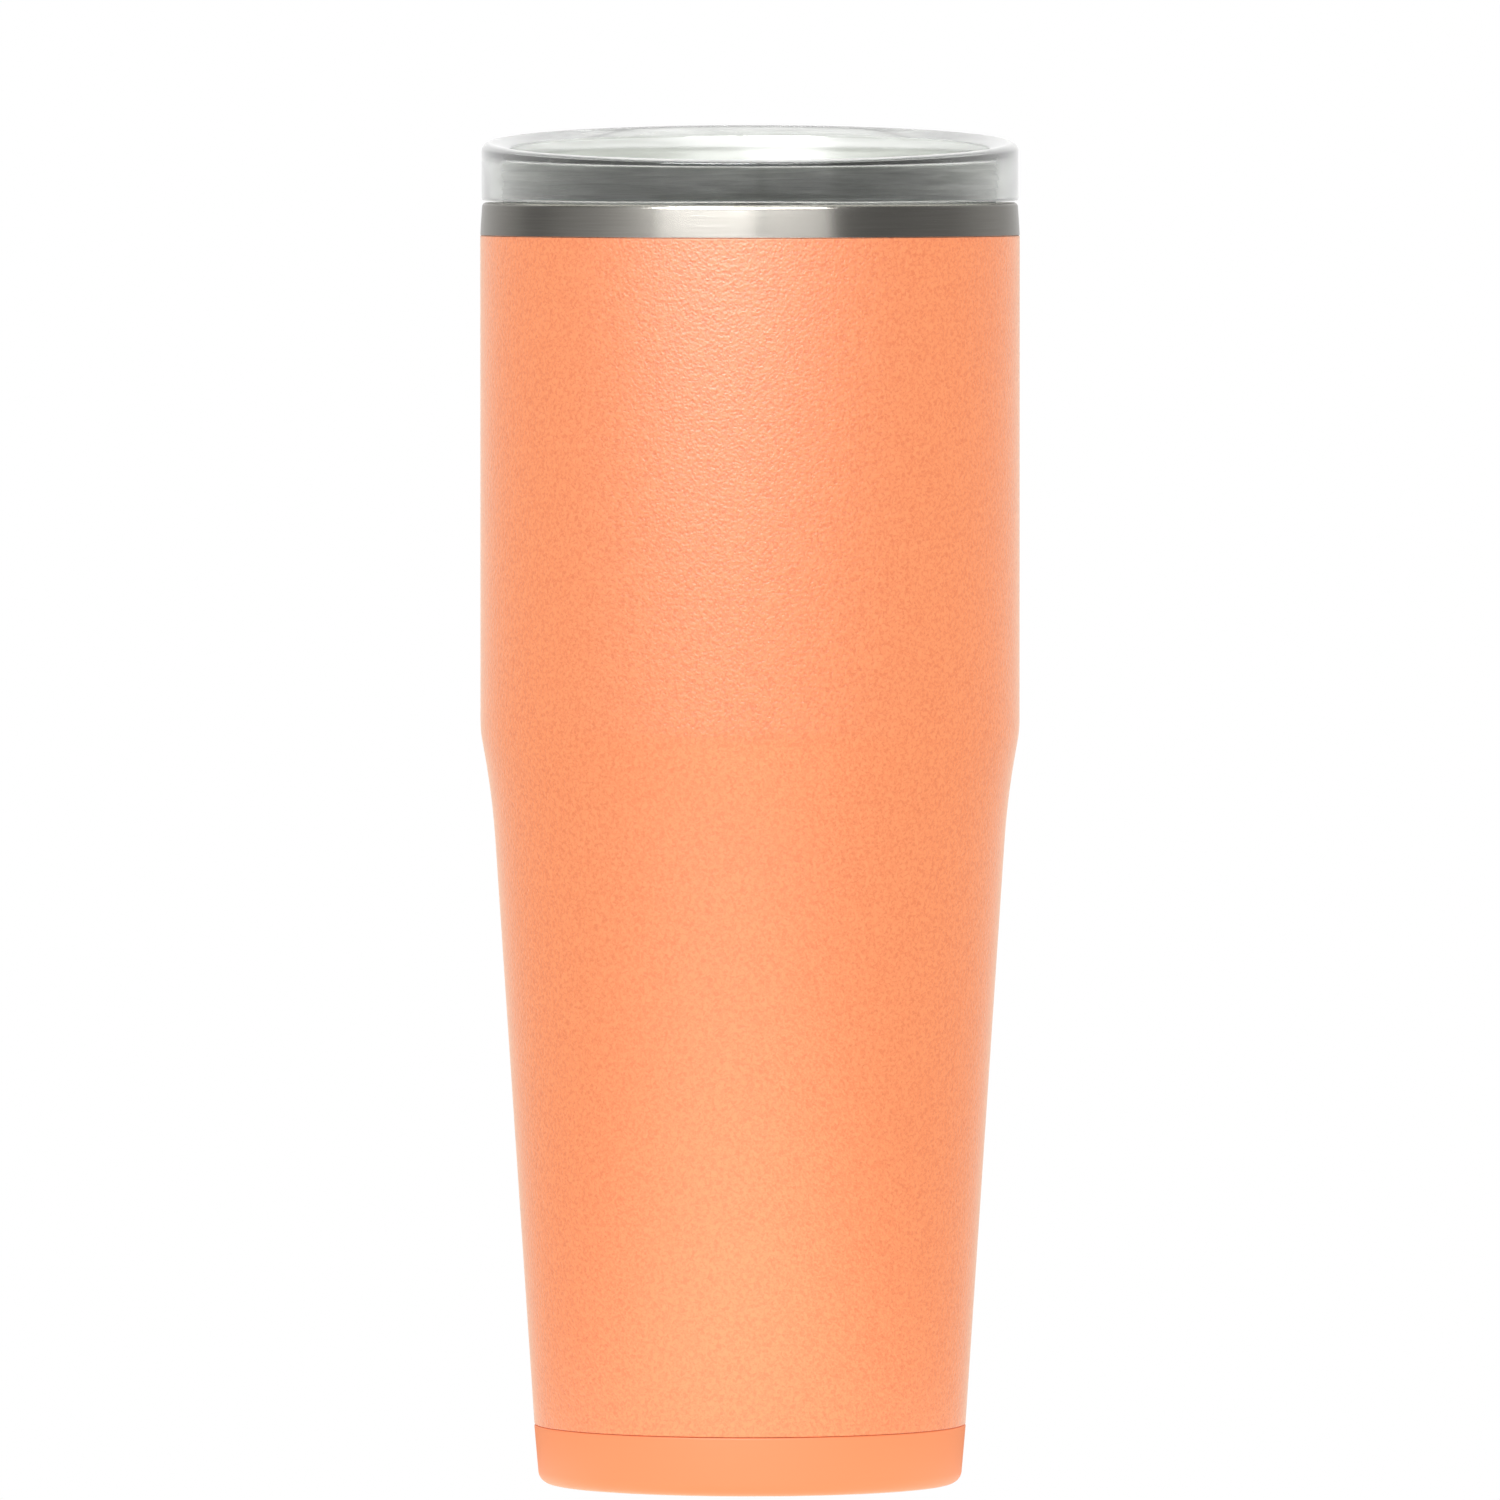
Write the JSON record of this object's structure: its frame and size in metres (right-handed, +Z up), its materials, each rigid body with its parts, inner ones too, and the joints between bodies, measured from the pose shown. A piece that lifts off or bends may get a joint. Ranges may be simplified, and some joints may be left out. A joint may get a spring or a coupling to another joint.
{
  "type": "insulated tumbler with lid",
  "caption": "Vacuum-walled steel tumbler, painted, with a straight upper wall, a tapered lower wall, a silicone foot boot and a clear press-in lid with a magnetic slider.",
  "frame": {"origin": "centre of the boot's underside, on the surface that the tumbler stands on", "axes": "+Z up out of the mouth, -Y towards the drinking side"},
  "size_m": [0.0908, 0.0908, 0.2288],
  "materials": {
    "powder_coat": "matte peach powder coat with a fine leathery grain",
    "brushed_steel": "18/8 stainless steel, finely brushed round",
    "copper": "bright copper foil",
    "solder_glass": "fused solder glass",
    "getter": "sintered powder metal",
    "boot_silicone": "smooth matte silicone",
    "clear_plastic": "clear moulded copolyester",
    "magnet": "nickel-plated",
    "grey_silicone": "translucent grey silicone",
    "charcoal_plastic": "satin charcoal polypropylene",
    "grip_rubber": "matte thermoplastic rubber"
  },
  "bodies": {
    "cup": {"outer_shell": "powder_coat", "inner_liner": "brushed_steel", "copper_foil": "copper", "outer_bottom": "brushed_steel", "sealing_bead": "solder_glass", "getter_cup": "brushed_steel", "getter_pill": "getter", "base_boot": "boot_silicone"},
    "lid": {"lid_shell": "clear_plastic", "deck": "charcoal_plastic", "lid_magnet_front": "magnet", "lid_magnet_rear": "magnet", "magnet_cover_front": "clear_plastic", "magnet_cover_rear": "clear_plastic", "lid_gasket": "grey_silicone"},
    "slider": {"slider_cap": "charcoal_plastic", "slider_plate": "charcoal_plastic", "slider_magnet_front": "magnet", "slider_magnet_rear": "magnet", "slider_seal": "grey_silicone", "thumb_grip": "grip_rubber"}
  },
  "joints": [
    {"name": "lid_lift", "type": "slide", "parent": "cup", "child": "lid", "axis": [0, 0, 1], "range_m": [0, 0.04]},
    {"name": "slider_travel", "type": "slide", "parent": "lid", "child": "slider", "axis": [0, 1, 0], "range_m": [0, 0.013]}
  ]
}
